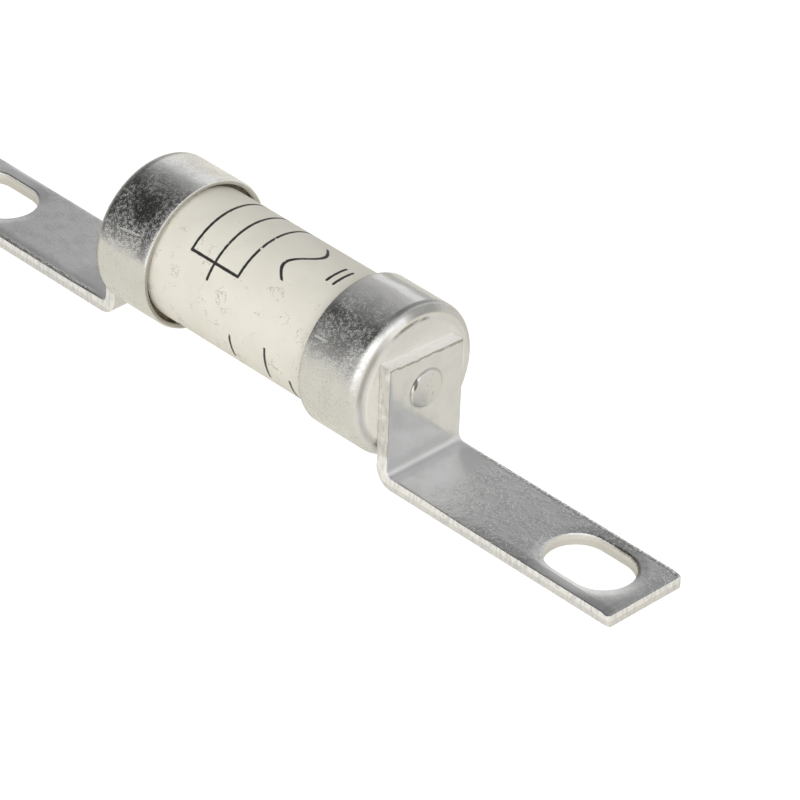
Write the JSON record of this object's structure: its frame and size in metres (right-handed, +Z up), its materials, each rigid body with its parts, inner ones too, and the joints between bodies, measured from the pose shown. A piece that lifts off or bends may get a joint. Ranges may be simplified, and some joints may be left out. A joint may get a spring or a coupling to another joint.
{
  "type": "tag fuse",
  "caption": "Tag fuse link: a white ceramic barrel with bright tinned end caps and an offset slotted tag riveted to each cap for bolting down.",
  "frame": {"origin": "on the mounting plane, midway between the two fixing slots", "axes": "+X along the barrel towards the right-hand tag, +Z up from the mounting plane, +Y across the tags"},
  "size_m": [0.0856, 0.0138, 0.0149],
  "materials": {
    "white_ceramic": "satin",
    "tinned_cap": "gloss",
    "tinned_tag": "satin",
    "tinned_rivet": "satin",
    "plain_brass": "satin",
    "pressed_fibre": "matte",
    "silvered_strip": "satin",
    "tin_alloy": "satin",
    "quartz_sand": "matte"
  },
  "bodies": {
    "root": {"ceramic_barrel": "white_ceramic", "outer_cap_left": "tinned_cap", "outer_cap_right": "tinned_cap", "inner_cap_left": "plain_brass", "inner_cap_right": "plain_brass", "tag_left": "tinned_tag", "tag_right": "tinned_tag", "tag_rivet_left": "tinned_rivet", "tag_rivet_right": "tinned_rivet", "sealing_disc_left": "pressed_fibre", "sealing_disc_right": "pressed_fibre", "filler_plug": "plain_brass", "fuse_element_front": "silvered_strip", "fuse_element_rear": "silvered_strip", "alloy_spot_front": "tin_alloy", "alloy_spot_rear": "tin_alloy", "quartz_filler": "quartz_sand"}
  },
  "joints": []
}
